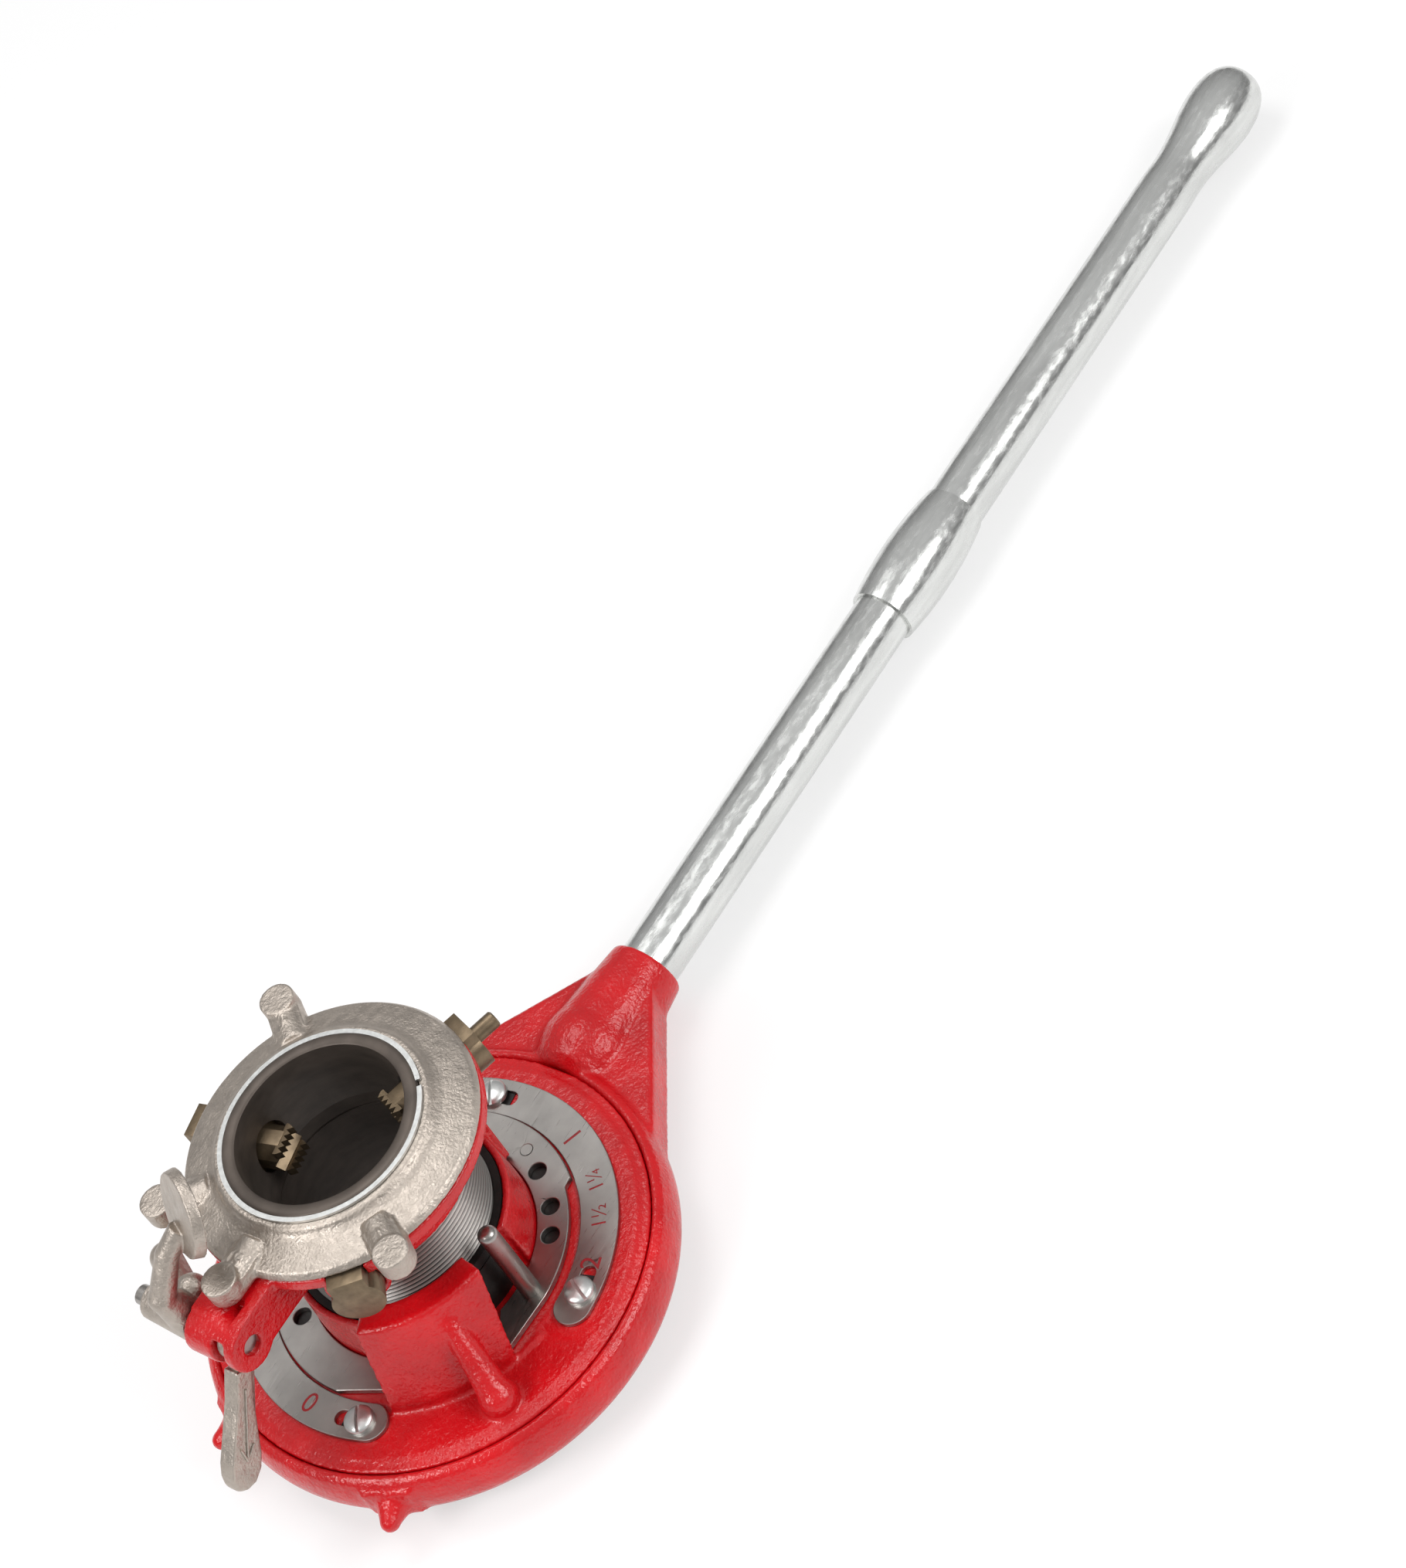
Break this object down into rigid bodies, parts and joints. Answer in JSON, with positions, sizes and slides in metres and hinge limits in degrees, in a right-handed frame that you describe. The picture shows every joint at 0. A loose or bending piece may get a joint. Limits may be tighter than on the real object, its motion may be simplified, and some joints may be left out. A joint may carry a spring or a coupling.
{
  "type": "ratchet pipe threader",
  "caption": "Manual ratchet pipe threader: die head in a ratchet ring with a long tubular handle, hollow lead screw and a cam-driven three-jaw workholder.",
  "frame": {"origin": "on the pipe's axis at the tool's flat back face", "axes": "+Z along the pipe from the die head up to the workholder, +X along the handle, +Y completes the right-handed set"},
  "size_m": [0.778, 0.2181, 0.1715],
  "materials": {
    "red_enamel": "gloss enamel over a sand casting",
    "nickel_plate": "satin nickel plate over a rough casting",
    "zinc_plate": "bright zinc plate",
    "ground_steel": "ground and polished steel",
    "turned_steel": "dark turned steel, lightly oiled",
    "black_oxide": "brown-black oxide on hardened steel",
    "bronze": "dull bronze"
  },
  "bodies": {
    "die_head": {"die_head_body": "red_enamel", "lead_nut": "bronze", "scale_plate": "ground_steel", "scale_screws": "zinc_plate", "die_carrier": "ground_steel", "cover_plate": "ground_steel", "cover_screws": "zinc_plate", "ring_keeper": "ground_steel", "keeper_screws": "zinc_plate"},
    "selector": {"selector_plate": "ground_steel", "selector_pin": "ground_steel", "drive_pins": "ground_steel", "die_cam_ring": "ground_steel"},
    "die_1": {"die_1": "black_oxide"},
    "die_2": {"die_2": "black_oxide"},
    "die_3": {"die_3": "black_oxide"},
    "die_4": {"die_4": "black_oxide"},
    "handle_ring": {"ratchet_ring": "red_enamel", "lower_handle_tube": "zinc_plate", "handle_coupling": "zinc_plate", "upper_handle_tube": "zinc_plate", "pawl_cap": "ground_steel", "pawl_spring": "ground_steel"},
    "pawl": {"pawl": "ground_steel", "pawl_knob": "ground_steel"},
    "guide_ring": {"guide_ring": "bronze"},
    "workholder": {"lead_screw": "turned_steel", "workholder_body": "red_enamel", "snap_ring": "zinc_plate", "clamp_shaft": "ground_steel", "shaft_washer": "bronze"},
    "cam_plate": {"cam_plate": "nickel_plate"},
    "jaw_1": {"jaw_1": "black_oxide"},
    "jaw_2": {"jaw_2": "black_oxide"},
    "jaw_3": {"jaw_3": "black_oxide", "jaw_adjusting_screw": "black_oxide"},
    "thumb_lever": {"thumb_lever": "nickel_plate"},
    "clamp_arm": {"clamp_arm": "nickel_plate"}
  },
  "joints": [
    {"name": "ring_turn", "type": "hinge", "parent": "die_head", "child": "handle_ring", "pos_m": [0, 0, 0.0214], "axis": [0, 0, 1], "continuous": true},
    {"name": "pawl_pull", "type": "slide", "parent": "handle_ring", "child": "pawl", "axis": [0.342, 0.9397, 0], "range_m": [0, 0.0045], "stiffness_N_per_m": 900, "springref_m": -0.004, "deforming": ["pawl_spring"]},
    {"name": "selector_turn", "type": "hinge", "parent": "die_head", "child": "selector", "pos_m": [0, 0, 0.038], "axis": [0, 0, 1], "range_deg": [0, 66]},
    {"name": "die_1_slide", "type": "slide", "parent": "die_head", "child": "die_1", "axis": [0.7071, 0.7071, 0], "range_m": [-0.01805, 0]},
    {"name": "die_2_slide", "type": "slide", "parent": "die_head", "child": "die_2", "axis": [-0.7071, 0.7071, 0], "range_m": [-0.01805, 0]},
    {"name": "die_3_slide", "type": "slide", "parent": "die_head", "child": "die_3", "axis": [-0.7071, -0.7071, 0], "range_m": [-0.01805, 0]},
    {"name": "die_4_slide", "type": "slide", "parent": "die_head", "child": "die_4", "axis": [0.7071, -0.7071, 0], "range_m": [-0.01805, 0]},
    {"name": "lead_turn", "type": "hinge", "parent": "die_head", "child": "guide_ring", "pos_m": [0, 0, 0.06], "axis": [0, 0, 1], "range_deg": [-1980, 1260]},
    {"name": "lead_advance", "type": "slide", "parent": "guide_ring", "child": "workholder", "axis": [0, 0, 1], "range_m": [-0.01215, 0.00773]},
    {"name": "cam_plate_turn", "type": "hinge", "parent": "workholder", "child": "cam_plate", "pos_m": [0, 0, 0.122], "axis": [0, 0, 1], "range_deg": [-85, 100]},
    {"name": "jaw_1_slide", "type": "slide", "parent": "workholder", "child": "jaw_1", "axis": [-0.2079, 0.9781, 0], "range_m": [-0.00611, 0.00719]},
    {"name": "jaw_2_slide", "type": "slide", "parent": "workholder", "child": "jaw_2", "axis": [-0.7431, -0.6691, 0], "range_m": [-0.00611, 0.00719]},
    {"name": "jaw_3_slide", "type": "slide", "parent": "workholder", "child": "jaw_3", "axis": [0.9511, -0.309, 0], "range_m": [-0.00611, 0.00719]},
    {"name": "thumb_lever_swing", "type": "hinge", "parent": "workholder", "child": "thumb_lever", "pos_m": [-0.079, 0.028, 0.108], "axis": [0, 1, 0], "range_deg": [-75, 0]},
    {"name": "clamp_arm_swing", "type": "hinge", "parent": "workholder", "child": "clamp_arm", "pos_m": [-0.079, -0.0055, 0.108], "axis": [0, 1, 0], "range_deg": [0, 60]}
  ],
  "couplings": [
    {"joint": "die_1_slide", "follows": "selector_turn", "m_per_rad": -0.01567},
    {"joint": "die_2_slide", "follows": "selector_turn", "m_per_rad": -0.01567},
    {"joint": "die_3_slide", "follows": "selector_turn", "m_per_rad": -0.01567},
    {"joint": "die_4_slide", "follows": "selector_turn", "m_per_rad": -0.01567},
    {"joint": "lead_advance", "follows": "lead_turn", "m_per_rad": 0.00035152},
    {"joint": "jaw_1_slide", "follows": "cam_plate_turn", "m_per_rad": 0.00412},
    {"joint": "jaw_2_slide", "follows": "cam_plate_turn", "m_per_rad": 0.00412},
    {"joint": "jaw_3_slide", "follows": "cam_plate_turn", "m_per_rad": 0.00412}
  ]
}
